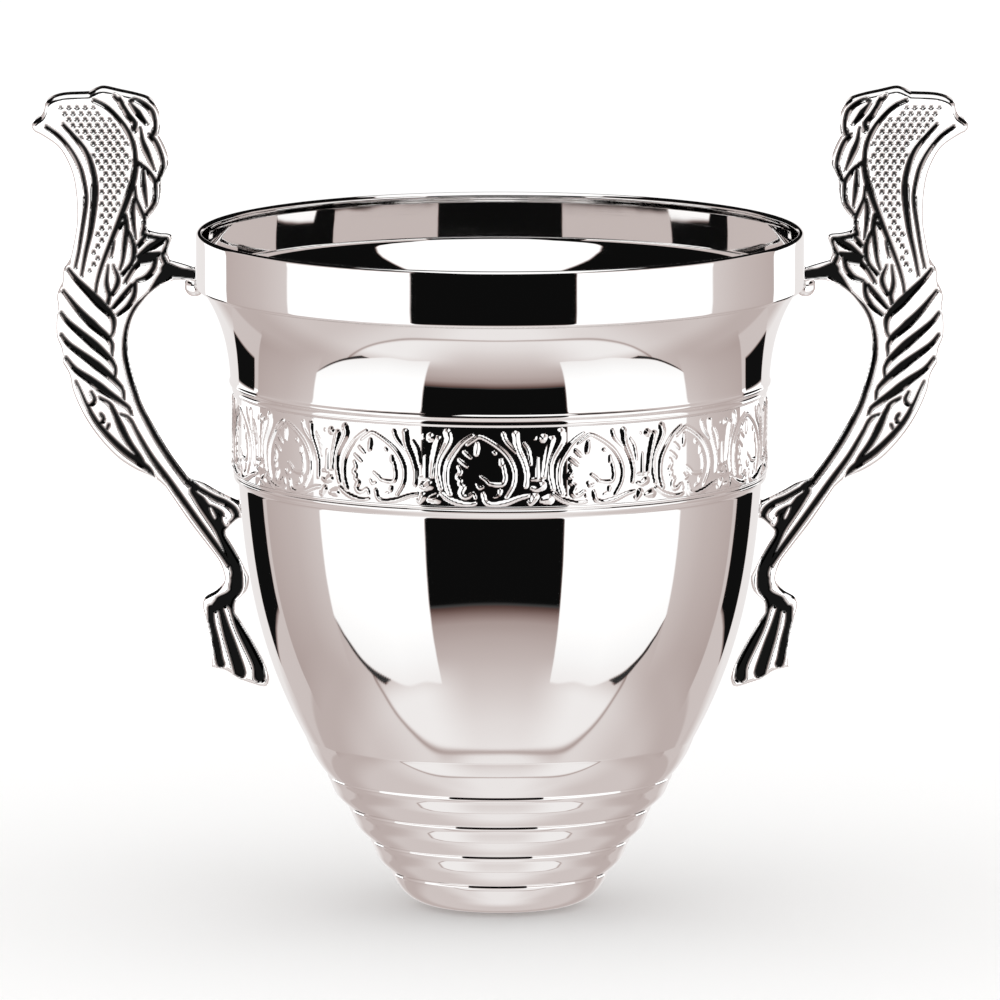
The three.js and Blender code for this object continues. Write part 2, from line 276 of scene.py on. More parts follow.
def outer_line():
    """The bowl's outside from the foot's middle to the top of the lip."""
    under_frieze = margin_line((BODY_TOP_RADIUS, BODY_TOP), (FRIEZE_RADIUS - 0.2, FRIEZE_LOW), BEADS_UNDER)
    over_frieze = margin_line((FRIEZE_RADIUS - 0.2, FRIEZE_HIGH), (FRIEZE_RADIUS + 0.3, FRIEZE_TOP),
                              BEADS_OVER)
    foot = bezier((FOOT_FLAT_RADIUS, 0), (FOOT_FLAT_RADIUS + 8, 0.3),
                  (RIB_BOTTOM_RADIUS - 1.5, FOOT_HEIGHT - 4.1),
                  (RIB_BOTTOM_RADIUS + 0.22, FOOT_HEIGHT - 0.5), 30)
    ribs = [rib_curve(i)[min(i, 1):] for i in range(RIB_COUNT)]
    behind = GROUND_RADIUS - SHELL_BEHIND
    behind_frieze = [[behind, FRIEZE_LOW + 0.05], [behind, FRIEZE_HIGH - 0.05]]
    fillet = bezier(NECK_CURVE[-1] + [0.12, 0.2], NECK_CURVE[-1] + [0.9, 0.8],
                    (RIM_RADIUS, NECK_TOP - 1.6), (RIM_RADIUS, NECK_TOP - 0.5), 12)
    rim = [[RIM_RADIUS, BOWL_HEIGHT - 0.7], [RIM_RADIUS - 0.25, BOWL_HEIGHT - 0.2],
           [RIM_RADIUS - 0.8, BOWL_HEIGHT]]
    return np.vstack([[[0, 0]], foot, *ribs, BODY_CURVE[1:], under_frieze[1:], behind_frieze,
                      over_frieze, NECK_CURVE[1:], fillet, rim])


def inner_line():
    """The inside, from the lip down to the middle of the floor."""
    inward = np.array([-WALL, 0])
    mouth = RIM_RADIUS - WALL
    lip = [[mouth, BOWL_HEIGHT], [mouth - LIP_PROUD, BOWL_HEIGHT - 0.3 * LIP_HEIGHT],
           [mouth - LIP_PROUD, BOWL_HEIGHT - 0.7 * LIP_HEIGHT], [mouth, BOWL_HEIGHT - LIP_HEIGHT],
           [mouth, NECK_TOP + 1.6]]
    fillet = bezier((mouth, NECK_TOP + 1.4), (mouth, NECK_TOP + 0.4),
                    NECK_CURVE[-1] + [0.9 - WALL, 1.4], NECK_CURVE[-1] + inward, 12)
    behind = FRIEZE_RADIUS - 0.4 - WALL
    behind_frieze = [[behind, FRIEZE_HIGH], [behind, FRIEZE_LOW]]
    # the ribs lean, so they are moved in and up to keep their wall
    ribs = np.vstack([rib_curve(i)[1:] for i in range(RIB_COUNT)]) + [-1.3 * WALL, 0.6]
    floor = [[RIB_BOTTOM_RADIUS - 1.5 * WALL, FOOT_HEIGHT], [FOOT_FLAT_RADIUS + 2, WALL + 0.6],
             [FOOT_FLAT_RADIUS - 2, WALL], [0, WALL]]
    return np.vstack([lip, fillet, NECK_CURVE[-2::-1] + inward, behind_frieze,
                      (BODY_CURVE + inward)[::-1], ribs[::-1], floor])


OUTER = outer_line()


def bowl_radius(z):
    """The bowl's outer radius at a height, for what rests against it."""
    return np.interp(z, OUTER[:, 1], OUTER[:, 0])


def make_bowl():
    line = softened(np.vstack([OUTER, inner_line()]), CORNER_ROUND, LINE_STEP)
    line[0, 0] = line[-1, 0] = 0
    tangents = np.gradient(line, axis=0)
    keep = thinned(line, LINE_TOLERANCE, LONGEST_STEP)
    return lathe("bowl_shell", line[keep], BOWL_SIDES, tangents[keep])


# ---- Frieze: one motif, repeated round the bowl ----

MOTIF_COUNT = 15
MOTIF_COLUMNS = 96
FRIEZE_ROWS = 60
MOTIF_AZIMUTH = -4.2  # degrees from the front, to the middle of one motif
MOTIF_PITCH = 2 * math.pi * GROUND_RADIUS / MOTIF_COUNT
RELIEF = 0.6  # the tallest stroke
RELIEF_SLOPE = 0.6  # a stroke's height over its half width
RELIEF_BLUR = 0.07
RELIEF_EDGE = 0.5  # how far from the margins the relief dies away
STROKE_WIDER = 0.23  # what blurring takes off each side of a stroke, put back
FINER = 4  # the height map's steps in each step of the mesh

# Each stroke is a raised line: points as (along, up) from the middle of the motif's foot, the
# half width at its start, middle and end, and its height as a share of RELIEF.
STROKES = [
    # the pointed oval
    ([(-2.0, 18.8), (-4.2, 17.3), (-6.1, 15.2), (-8.5, 11.1), (-8.9, 6.6), (-8.0, 3.2)],
     (0.35, 0.62, 0.6), 1.0),
    ([(-3.4, 16.4), (-1.6, 17.7), (0.2, 18.4), (4.4, 16.0), (7.3, 13.1), (8.9, 9.5), (8.7, 5.8),
      (6.9, 2.5)], (0.3, 0.5, 0.4), 0.9),
    # the shell inside it
    ([(-0.7, 16.6), (-1.0, 14.0)], (0.45, 0.7, 0.55), 0.9),
    ([(-4.1, 14.4), (-2.5, 12.9)], (0.4, 0.5, 0.3), 0.8),
    ([(-5.5, 12.3), (-3.5, 10.7)], (0.35, 0.5, 0.35), 0.8),
    ([(-5.6, 10.4), (-5.1, 9.0), (-5.9, 7.8), (-5.1, 6.9), (-5.4, 6.0), (-4.5, 5.4)],
     (0.4, 0.55, 0.4), 0.8),
    ([(-4.4, 5.0), (-5.0, 3.6), (-4.4, 2.6), (-3.2, 2.6), (-1.8, 3.5), (-1.2, 2.3)],
     (0.75, 0.5, 0.3), 0.8),
    ([(3.6, 14.4), (3.9, 14.1)], (0.4, 0.4, 0.4), 0.7),
    ([(5.4, 12.5), (5.5, 11.2)], (0.35, 0.5, 0.5), 0.8),
    ([(6.0, 10.8), (6.5, 7.6), (5.7, 5.9), (2.6, 6.1), (1.6, 7.0), (0.2, 8.0)],
     (0.4, 0.45, 0.3), 0.8),
    ([(-0.8, 5.9), (-0.2, 5.0), (0.7, 5.3)], (0.3, 0.4, 0.3), 0.7),
    ([(5.2, 4.3), (5.1, 3.3)], (0.5, 0.5, 0.3), 0.7),
    ([(3.6, 2.6), (4.5, 2.9)], (0.25, 0.3, 0.25), 0.6),
    # the two scrolls under it
    ([(-10.1, 3.1), (-7.3, 1.4), (-3.6, 0.5), (-1.2, 0.9)], (0.6, 0.6, 0.3), 1.0),
    ([(0.8, 3.3), (1.5, 1.2), (3.6, 0.5), (6.9, 1.1), (10.1, 2.3), (12.5, 2.9)],
     (0.45, 0.65, 0.35), 1.0),
    # the bars beside it
    ([(-8.5, 19.3), (-8.3, 17.2), (-10.7, 12.7), (-11.3, 9.1), (-10.4, 4.7)],
     (1.05, 0.75, 0.5), 1.0),
    ([(6.0, 19.2), (6.8, 17.2), (9.3, 14.4)], (0.5, 0.45, 0.25), 0.8),
    ([(9.2, 19.1), (9.7, 15.6), (11.3, 11.9), (12.1, 8.6), (11.9, 5.4)], (0.8, 0.6, 0.45), 1.0),
    ([(11.3, 16.8), (12.5, 14.8), (13.2, 11.2)], (0.3, 0.4, 0.25), 0.8),
    # what stands between two motifs
    ([(14.9, 12.7), (14.9, 7.4)], (0.25, 0.4, 0.6), 0.8),
    ([(13.4, 7.2), (14.9, 7.3), (16.2, 7.0)], (0.3, 0.45, 0.3), 0.7),
    ([(16.4, 18.0), (16.5, 17.9)], (1.0, 1.0, 1.0), 1.0),
    ([(14.3, 18.1), (14.3, 18.0)], (0.35, 0.35, 0.35), 0.6),
    ([(18.5, 17.4), (17.4, 12.7), (16.6, 7.9)], (1.05, 0.95, 0.6), 1.0),
    ([(13.4, 5.0), (14.6, 4.6), (16.0, 5.4)], (0.35, 0.6, 1.15), 1.0),
    ([(12.6, 1.3), (13.2, 0.8), (14.2, 2.5)], (0.3, 0.5, 0.95), 1.0),
    ([(15.9, 1.6), (17.9, 1.9)], (0.4, 0.9, 1.35), 1.0),
    ([(20.9, 18.7), (20.8, 17.6), (21.4, 17.2)], (0.35, 0.5, 0.35), 0.8),
]


def to_segment(dx, dy, ab, wa, wb):
    """How far points are from a tapering segment's middle line, and its half width there."""
    u = np.clip((dx * ab[0] + dy * ab[1]) / max(ab @ ab, 1e-9), 0, 1)
    return np.hypot(dx - u * ab[0], dy - u * ab[1]), wa + (wb - wa) * u


def stroke_relief(s, t, points, widths, tall):
    """The height of one raised line at grid points, repeated at the motif's pitch."""
    line = spline(points, 0.4)
    along = np.linspace(0, 1, len(line))
    half = np.interp(along, (0, 0.5, 1), widths) + STROKE_WIDER
    relief = np.zeros(s.shape)
    for shift in (-MOTIF_PITCH, 0, MOTIF_PITCH):
        for a, b, wa, wb in zip(line[:-1], line[1:], half[:-1], half[1:]):
            ab = b - a
            reach = max(wa, wb)
            low, high = np.minimum(a, b) - reach, np.maximum(a, b) + reach
            i0, i1 = np.searchsorted(t[:, 0], [low[1], high[1]])
            j0, j1 = np.searchsorted(s[0], [low[0] + shift, high[0] + shift])
            if i0 == i1 or j0 == j1:
                continue
            window = (slice(i0, i1), slice(j0, j1))
            ds, dt = s[window] - a[0] - shift, t[window] - a[1]
            away, wide = to_segment(ds, dt, ab, wa, wb)
            share = np.clip(away / wide, 0, 1)
            height = tall * np.minimum(RELIEF, RELIEF_SLOPE * wide) * (1 - share ** 1.2) ** 1.15
            relief[window] = np.maximum(relief[window], height)
    return relief


def motif_relief(s, t):
    """One motif's height map, slightly blurred so that its strokes melt into the ground."""
    relief = np.zeros(s.shape)
    for points, widths, tall in STROKES:
        relief = np.maximum(relief, stroke_relief(s, t, points, widths, tall))
    weights, reach = bell(RELIEF_BLUR, s[0, 1] - s[0, 0])
    wide = np.pad(relief, ((reach, reach), (0, 0)), "edge")
    relief = sum(w * wide[i:i + len(relief)] for i, w in enumerate(weights))
    return sum(w * np.roll(relief, i - reach, 1) for i, w in enumerate(weights))


def make_frieze():
    """A closed band: the relief in front, and a plain back that the shell passes behind."""
    columns = MOTIF_COUNT * MOTIF_COLUMNS
    fine = MOTIF_COLUMNS * FINER
    s_line = (np.arange(fine) / fine - 0.5) * MOTIF_PITCH
    t_line = np.linspace(0, FRIEZE_HIGH - FRIEZE_LOW, (FRIEZE_ROWS - 1) * FINER + 1)
    s, t = np.meshgrid(s_line, t_line)
    relief = motif_relief(s, t)
    relief *= smoothstep(0, RELIEF_EDGE, np.minimum(t_line, t_line[-1] - t_line))[:, None]
    step_s, step_t = s_line[1] - s_line[0], t_line[1] - t_line[0]
    slope_s = (np.roll(relief, -1, 1) - np.roll(relief, 1, 1)) / (2 * step_s)
    slope_t = np.gradient(relief, step_t, axis=0)
    relief, slope_s, slope_t = (np.tile(grid[::FINER, ::FINER], (1, MOTIF_COUNT))
                                for grid in (relief, slope_s, slope_t))
    t_line = t_line[::FINER]
    start = math.radians(MOTIF_AZIMUTH) - math.pi / MOTIF_COUNT
    azimuth = start + np.arange(columns) * 2 * np.pi / columns
    out = np.stack([np.sin(azimuth), -np.cos(azimuth)], axis=1)
    side = np.stack([np.cos(azimuth), np.sin(azimuth)], axis=1)
    radius = GROUND_RADIUS + relief
    vertices = np.concatenate([radius[..., None] * out,
                               np.broadcast_to((FRIEZE_LOW + t_line)[:, None, None],
                                               radius.shape + (1,))], axis=2)
    normals = np.concatenate([out - slope_s[..., None] * side, -slope_t[..., None]], axis=2)
    normals /= np.linalg.norm(normals, axis=2)[..., None]
    back_radius = GROUND_RADIUS - SHELL_BEHIND + 0.05
    back, back_normals = [], []
    for z in (FRIEZE_HIGH, FRIEZE_LOW):
        back.append(np.column_stack([back_radius * out, np.full(columns, z)]))
        back_normals.append(np.column_stack([-out, np.zeros(columns)]))
    vertices = np.vstack([vertices.reshape(-1, 3), *back])
    normals = np.vstack([normals.reshape(-1, 3), *back_normals])
    rows = FRIEZE_ROWS + 2
    faces = []
    for i in range(rows):
        faces.extend(ring_faces(i * columns, (i + 1) % rows * columns, columns))
    return make_object("frieze", vertices, faces, normals)


# ---- Handles: a solid field, meshed at even steps ----

# The drawing gives points as (out from the cup's axis, up from its foot).
OUTLINE = [
    [(123.3, 206.7), (123.1, 207.8), (122.2, 208.8), (120.9, 209.7), (120.2, 211), (119.2, 213.8),
     (115.2, 215.5), (108.2, 215.9)],
    [(108.2, 215.9), (106, 217), (104, 217.4), (99.9, 216.5), (95.4, 215.5), (91.9, 214.2),
     (89.7, 211.2), (89.2, 207.8), (89.7, 204.8)],
    [(89.7, 204.8), (87.9, 201.2), (87.1, 197.6), (88.8, 193.6), (89.2, 190), (90.1, 186),
     (92.9, 182.3)],
    [(92.9, 182.3), (92.6, 179.8), (89.8, 178.8), (86.9, 178.5), (86.3, 177.6), (87.4, 174.2),
     (86.8, 171.6)],
    [(86.8, 171.6), (83.2, 170.6), (79, 169.2)],
    [(79, 166), (83.2, 166.3), (86.3, 166), (89.8, 164.5), (93.3, 161.4), (96.4, 156.9),
     (97.8, 151.9), (97.7, 147.1), (96.4, 141), (94.1, 133.4), (90.3, 126.3), (86.3, 119.6),
     (81.9, 113.6)],
    [(81.9, 113.6), (78.2, 112.5), (73.7, 110), (67, 106.8)],
    [(67, 102.8), (68.9, 102.8), (71.6, 100.4), (72.2, 98.7), (69.6, 94.2), (67.1, 89.6),
     (66.1, 87), (66.9, 83.6), (69.6, 80.8), (69.9, 77.9)],
    [(69.9, 77.9), (66.6, 72.8), (63.6, 67.2), (61.2, 62.1), (61, 59.5), (62.1, 58.1),
     (65.6, 59)],
    [(65.6, 59), (69.1, 60.3), (72.2, 62.4), (76.2, 63.4)],
    [(76.2, 63.4), (76.2, 69.2), (77.2, 74.8), (78.5, 79.4), (77.9, 82), (74.7, 84), (72.9, 86.3),
     (72.9, 88), (74.2, 91.6), (77.2, 95.7), (82.2, 102.3), (88.3, 111.4)],
    [(88.3, 111.4), (91.3, 113.8), (96.4, 116.1), (101.4, 119.6), (106.4, 125.2), (110, 130.8),
     (112.5, 136.5), (113.5, 141), (115.4, 144.5)],
    [(115.4, 144.5), (115.5, 147.7), (116.8, 151.2), (117, 155.3), (116.5, 159.4), (116.8, 162.4),
     (115.3, 166), (115.1, 169), (113.5, 171.6), (112.5, 175.7), (111.5, 182.3), (111.8, 190),
     (113, 195.6), (116, 201.2), (120.4, 204.5), (122.5, 205.6), (123.3, 206.7)],
]

# Grooves: a centre line, and the half width at its start, middle and end.
GROOVES = [
    ([(119.3, 207.4), (115.6, 204.6), (112.4, 200.5), (110.3, 196.2), (109.1, 190.7),
      (108.9, 186.6), (109.9, 179.7), (110.8, 174.2), (111.7, 170)], (0.15, 0.42, 0.2)),
    ([(114.8, 208), (112.2, 205.1), (109.2, 201.3), (107.6, 197.5), (106.6, 192.6), (106.6, 188),
      (107.2, 182.5), (107.8, 178.8), (109, 173.6), (110.1, 167.8)], (0.15, 0.78, 0.2)),
    ([(106.7, 214.3), (103.5, 212.7), (100.9, 210.3), (98.2, 206.8), (96.5, 202.9), (95.9, 198.3),
      (96, 194.8), (97.3, 189.9), (100.2, 182.1), (103, 175.1), (104.8, 170.2), (106, 165.9),
      (106.4, 163.2)], (0.2, 0.66, 0.2)),
    # leaves, from the crest down
    ([(101.4, 215.6), (99.3, 213.2), (97.8, 210.6), (96, 208.2), (96.3, 206.4)], (0.1, 0.5, 0.5)),
    ([(99.9, 214.6), (98.9, 212.2)], (0.3, 0.55, 0.3)),
    ([(97.2, 213.6), (96, 214.5), (93.3, 213.2), (91.4, 211.2), (90.7, 208.4), (90.8, 205.9),
      (91.6, 204.6)], (0.2, 0.4, 0.4)),
    ([(97.1, 213.4), (95.1, 210.9), (92.9, 208.2)], (0.15, 0.65, 0.2)),
    ([(92, 205), (90.4, 203), (89.1, 199.8), (88.6, 197), (89, 194.6), (90, 192.8)],
     (0.35, 0.4, 0.4)),
    ([(94.6, 206.9), (94, 203.6), (92.4, 199.6), (90.9, 195.8)], (0.2, 0.62, 0.15)),
    ([(95.4, 197.4), (94.5, 197.1)], (0.75, 0.75, 0.5)),
    ([(94.7, 197.2), (92.8, 195.8), (91, 193.2), (90.6, 190), (90.8, 187.2), (93.1, 183.8)],
     (0.4, 0.42, 0.3)),
    ([(93.8, 195.8), (93.6, 191), (92.9, 186)], (0.2, 0.55, 0.15)),
    ([(96, 191.3), (95.8, 188.6), (94.9, 186.2), (93.6, 183), (93.5, 180.6), (94, 178.6)],
     (0.2, 0.4, 0.4)),
    ([(96.2, 188), (96.6, 183.4), (95.9, 177.6)], (0.25, 0.5, 0.15)),
    ([(98.7, 183.6), (98.2, 180.4), (98.7, 176), (99.2, 172), (100, 169.2)], (0.55, 0.5, 0.2)),
    ([(99.2, 181.4), (100.4, 180.2)], (0.5, 0.25, 0.1)),
    ([(98, 180.2), (96.8, 177.2), (96.2, 174.2), (97, 170.8), (99.6, 168)], (0.25, 0.55, 0.25)),
    ([(101.5, 176.8), (102.3, 172.8)], (0.1, 0.3, 0.1)),
    ([(103.1, 170.4), (103.5, 165.6), (102.8, 162.4), (103.2, 160.4)], (0.12, 0.42, 0.4)),
    ([(101.7, 170.4), (100.5, 166.8), (101.2, 164.2), (102.8, 162)], (0.15, 0.5, 0.25)),
    ([(102.3, 158.8), (99.7, 161.8), (96.9, 165.1)], (0.15, 0.42, 0.4)),
    ([(96, 165.6), (96.3, 162.4), (98, 159.6), (100.9, 157.2)], (0.4, 0.5, 0.12)),
    ([(98.6, 166), (96.6, 169.4), (94.4, 171.8)], (0.3, 0.35, 0.5)),
    ([(94.4, 171.8), (91.8, 172.6), (89.6, 173.5)], (1.0, 1.3, 0.4)),
    ([(90.6, 172.2), (91.2, 169.6), (93, 167.4), (95.6, 166.3)], (0.5, 0.5, 0.25)),
    ([(95.3, 172.6), (91.8, 175.4), (88.4, 177.4)], (0.35, 0.75, 0.5)),
    ([(92.3, 178), (90, 177.6), (87.6, 177.5)], (0.5, 0.4, 0.3)),
    ([(95.3, 175.6), (93.2, 178.2)], (0.3, 0.45, 0.3)),
    ([(87.6, 177.5), (87.5, 175.8), (88.7, 173), (87.9, 170.9)], (0.3, 0.35, 0.5)),
    ([(94, 179), (92.8, 178.2)], (0.35, 0.35, 0.35)),
    # the arm to the rim, and the border inside the long arm
    ([(87.4, 169.2), (84.4, 168.4), (81, 167.9)], (1.7, 1.2, 1.15)),
    ([(87.6, 168.2), (89.8, 166), (92.1, 162.9)], (1.5, 0.8, 0.45)),
    ([(92.1, 162.9), (95.6, 159.4), (97.6, 155.4), (98.6, 150.9), (98.6, 146.5), (97.8, 142.1),
      (96.5, 137.8), (94.3, 132.1), (90.7, 125.1), (86.5, 118.5), (82.4, 112.9)],
     (0.45, 0.6, 0.55)),
    # the straps, each hooked at its inner end
    ([(113.5, 169.4), (111.1, 166.4), (107.8, 163), (104.8, 159.9), (102.4, 157.4),
      (101.6, 155.4), (101.8, 152.8), (102.5, 151.4)], (0.25, 0.95, 0.15)),
    ([(114.9, 163.7), (110.5, 158.2), (106.4, 154.1), (103.4, 151.5), (102.1, 149.4),
      (102.1, 146.6)], (0.2, 0.85, 0.15)),
    ([(115.5, 157.9), (113.2, 155), (107.8, 150.3), (103.8, 146.7), (101.8, 144.4),
      (101.2, 142.4), (101.4, 140.4)], (0.2, 0.85, 0.15)),
    ([(115.5, 152.1), (113.2, 149.3), (107.8, 145.2), (103.8, 142), (100.8, 139.2),
      (99.3, 137.2), (99, 134.9)], (0.2, 0.85, 0.2)),
    ([(114.3, 146), (111.8, 142.9), (107.8, 140), (103.8, 136.9), (99.7, 134), (97.7, 132.4),
      (97, 130.8)], (0.2, 0.9, 0.2)),
    # the veins under them
    ([(111.7, 139.6), (110.5, 137.2), (108.6, 132.9), (105.9, 128.3), (101.8, 123.7),
      (98.2, 120.4), (95, 118.2)], (0.15, 0.5, 0.7)),
    ([(95, 118.2), (92.4, 116), (90.9, 113.9)], (0.7, 0.55, 0.1)),
    ([(105.5, 135.3), (102.9, 133.7), (101.6, 131.5), (99.7, 127.2), (97.5, 123), (94.9, 119.4),
      (94, 117.8)], (0.15, 0.75, 0.4)),
    ([(107.6, 136.7), (106.7, 134.5), (108.2, 133)], (0.25, 0.35, 0.2)),
    ([(105.1, 130.9), (104.3, 129.6), (105.3, 128.2)], (0.25, 0.35, 0.2)),
    ([(103, 128), (103.5, 126.9)], (0.3, 0.3, 0.2)),
    ([(99.9, 130.8), (97.5, 129.6), (95.2, 125.4), (91.9, 119.7), (87.6, 113.7), (84.1, 108.7),
      (80.6, 103.8), (77.2, 99.1), (74.1, 94.8), (71.4, 90.9)], (0.2, 0.62, 0.55)),
    # the lower branch
    ([(83.6, 114.2), (80, 111.2)], (0.3, 0.8, 0.8)),
    ([(80.6, 110.4), (78.4, 107), (76.4, 104.2), (73.6, 100.2), (71.8, 96), (70.2, 91.8),
      (69.3, 88.2), (69.9, 84.6)], (1.0, 1.55, 1.25)),
    ([(79.6, 111), (75.6, 108.7), (72.4, 107.3), (70.2, 105.6), (69.4, 103.6), (70.2, 102),
      (72, 101)], (0.6, 0.6, 0.7)),
    ([(78.4, 106.6), (75.6, 105.4), (73.8, 104.6)], (0.6, 0.9, 0.6)),
    ([(72.3, 99.6), (72.8, 102.2), (73.6, 104.2)], (0.7, 0.9, 0.7)),
    # the foot and its claws
    ([(69.4, 87), (69.4, 84.4), (71, 82.2), (73.4, 80.8)], (1.5, 1.3, 1.6)),
    ([(74, 80.2), (75.4, 79)], (1.4, 1.2, 0.9)),
    ([(71.2, 81.6), (70.6, 79.2)], (1.2, 1.1, 0.6)),
    ([(76.3, 79.2), (76, 74.8), (74.8, 69.6), (74, 65.4), (73.6, 64.2)], (0.7, 0.9, 0.95)),
    ([(73.9, 80), (72.2, 73.6), (70.4, 68), (69, 63.6), (68.6, 61.9)], (0.5, 1.15, 1.45)),
    ([(70.8, 79.6), (69, 74.4), (66, 68.6), (63.8, 64), (63.4, 60.9)], (0.45, 1.05, 1.4)),
]

# Raised leaves that stand inside the recess of the lower branch.
ISLANDS = [
    ([(79.7, 110.2), (77.2, 108.6), (75, 107), (72.4, 105.8), (70.8, 103.8)], (0.35, 0.7, 0.8)),
    ([(76.3, 105.8), (75.1, 103.1)], (0.35, 0.55, 0.4)),
    ([(72.5, 103.2), (71.9, 101.6)], (0.8, 1.0, 0.9)),
]

# Rows of small dots fill the field on the wing.
DOT_PITCH_OUT = 2.15
DOT_PITCH_UP = 1.6
DOT_COLUMNS = 11
DOT_SIZE = 0.34
DOT_TIP = (206, 213)  # between these heights the dots shrink to half their size
DOT_FIELD = [(116.2, 213.6), (109, 214), (104.6, 211.6), (100.4, 207.6), (97.6, 202.4),
             (97.2, 196.8), (98.4, 191.4), (101.4, 183.6), (104, 177), (105.6, 172), (107.2, 168.6),
             (108.4, 169), (106.9, 176.6), (106, 183), (105.4, 190), (106, 195.4), (108, 201),
             (112, 206.4), (115.6, 209)]

CELL = 0.315  # spacing of the field across the handle's face
CELL_DEEP = 0.6  # and through its thickness
FIELD_MARGIN = 1.2
FAR = 99.0  # a distance past any that matters
OUTLINE_STEP = 0.8
OUTLINE_OPEN = (4, 6)  # the stretches that end at the bowl, and not at the next stretch
GROOVE_REACH = 3.0  # how far from a groove its distance is worked out
GROOVE_DEPTH = 1.0
SHOULDER = 0.5  # how far a raised part rounds over towards a groove
EDGE_ROUND = 1.3
BALL_CENTRE = (80.6, 164.3)  # the boss that the upper screw goes into
BALL_RADIUS = 2.8
SEAT_GAP = 0.12  # between the handle and the bowl


def line_distance(out, up, points, widths):
    """Distance from grid points to a stroke's edge, negative inside it."""
    line = spline(points, OUTLINE_STEP)
    half = np.interp(np.linspace(0, 1, len(line)), (0, 0.5, 1), widths)
    best = np.full(out.shape, FAR)
    low, high = line.min(0) - GROOVE_REACH, line.max(0) + GROOVE_REACH
    i0, i1 = np.searchsorted(out[:, 0], [low[0], high[0]])
    j0, j1 = np.searchsorted(up[0], [low[1], high[1]])
    window = (slice(i0, i1), slice(j0, j1))
    sub_out, sub_up = out[window], up[window]
    near = best[window]
    for a, b, wa, wb in zip(line[:-1], line[1:], half[:-1], half[1:]):
        away, wide = to_segment(sub_out - a[0], sub_up - a[1], b - a, wa, wb)
        np.minimum(near, away - wide, out=near)
    best[window] = near
    return best


def polygon_distance(out, up, polygon):
    """Distance to a closed outline, positive inside."""
    inside = np.zeros(out.shape, bool)
    best = np.full(out.shape, FAR)
    for a, b in zip(polygon, np.roll(polygon, -1, axis=0)):
        ab = b - a
        dx, dy = out - a[0], up - a[1]
        np.minimum(best, to_segment(dx, dy, ab, 0, 0)[0], out=best)
        if a[1] != b[1]:
            crosses = (a[1] > up) != (b[1] > up)
            inside ^= crosses & (dx < ab[0] * dy / ab[1])
    return np.where(inside, best, -best)


def dot_distance(out, up, groove):
    """Distance to the small round dots of the wing, negative inside one."""
    corners = np.array(DOT_FIELD)
    field = polygon_distance(out, up, corners)
    best = np.full(out.shape, FAR)
    (start, foot), (_, top) = corners.min(0), corners.max(0)
    for row in range(int((top - foot) / DOT_PITCH_UP) + 1):
        level = foot + 0.6 + row * DOT_PITCH_UP
        for column in range(DOT_COLUMNS):
            place = start + (column + 0.5 * (row % 2)) * DOT_PITCH_OUT
            i = int(np.clip(np.searchsorted(out[:, 0], place), 0, out.shape[0] - 1))
            j = int(np.clip(np.searchsorted(up[0], level), 0, out.shape[1] - 1))
            if field[i, j] < 0.1 or groove[i, j] < 0.75:
                continue
            room = min(field[i, j], groove[i, j] - 0.2)
            size = DOT_SIZE * smoothstep(-0.6, 1.0, room) * (1 - 0.5 * smoothstep(*DOT_TIP, level))
            window = (slice(max(i - 6, 0), i + 7), slice(max(j - 6, 0), j + 7))
            reach = np.hypot(out[window] - place, up[window] - level)
            best[window] = np.minimum(best[window], reach - size)
    return best


def mesh_field(field):
    """Surface nets: the zero level of a field that is negative inside, as vertices and quads."""
    inside = field < 0
    corners = list(np.ndindex(2, 2, 2))
    nx, ny, nz = (n - 1 for n in field.shape)
    count = sum(inside[i:i + nx, j:j + ny, k:k + nz].astype(np.int8) for i, j, k in corners)
    cells = np.argwhere((count > 0) & (count < 8))
    value = np.stack([field[tuple((cells + c).T)] for c in corners])
    total = np.zeros((len(cells), 3))
    hits = np.zeros(len(cells))
    for a in range(8):
        for bit in (4, 2, 1):
            b = a | bit
            if b == a:
                continue
            fa, fb = value[a], value[b]
            crossing = (fa < 0) != (fb < 0)
            t = np.where(crossing, fa / np.where(crossing, fa - fb, 1), 0)
            point = np.array(corners[a]) + t[:, None] * (np.array(corners[b]) - corners[a])
            total += point * crossing[:, None]
            hits += crossing
    place = cells + total / hits[:, None]
    ids = np.full((nx, ny, nz), -1, np.int64)
    ids[tuple(cells.T)] = np.arange(len(cells))
    quads = []
    for axis in range(3):
        lower = [slice(None)] * 3
        upper = [slice(None)] * 3
        lower[axis], upper[axis] = slice(0, -1), slice(1, None)
        low, high = inside[tuple(lower)], inside[tuple(upper)]
        edge = np.argwhere(low != high)
        b, c = (axis + 1) % 3, (axis + 2) % 3
        edge = edge[(edge[:, b] > 0) & (edge[:, c] > 0)]
        step_b, step_c = np.eye(3, dtype=int)[b], np.eye(3, dtype=int)[c]
        ring = [edge - step_b - step_c, edge - step_c, edge, edge - step_b]
        quad = np.stack([ids[tuple(e.T)] for e in ring], axis=1)
        flip = ~low[tuple(edge.T)]
        quad[flip] = quad[flip][:, ::-1]
        quads.append(quad)
    return place, np.vstack(quads)


def sample(grid, place):
    """The value of a 2-D or 3-D grid at places given in cells."""
    base = np.clip(np.floor(place).astype(int), 0, np.array(grid.shape) - 2)
    share = place - base
    total = 0
    for corner in np.ndindex(*[2] * grid.ndim):
        weight = np.prod(np.where(corner, share, 1 - share), axis=1)
        total = total + grid[tuple((base + corner).T)] * weight
    return total


def field_slope(field, place, cell):
    """How steeply the field rises along each axis, per millimetre."""
    slope = []
    for axis in range(3):
        step = np.zeros(3)
        step[axis] = 0.5
        rise = sample(field, place + step) - sample(field, place - step)
        slope.append(rise / cell[axis])
    return np.stack(slope, axis=1)


def handle_polygon():
    """The outline as one closed line."""
    lines = [spline(stretch, OUTLINE_STEP) for stretch in OUTLINE]
    return np.vstack([line if i in OUTLINE_OPEN else line[:-1] for i, line in enumerate(lines)])


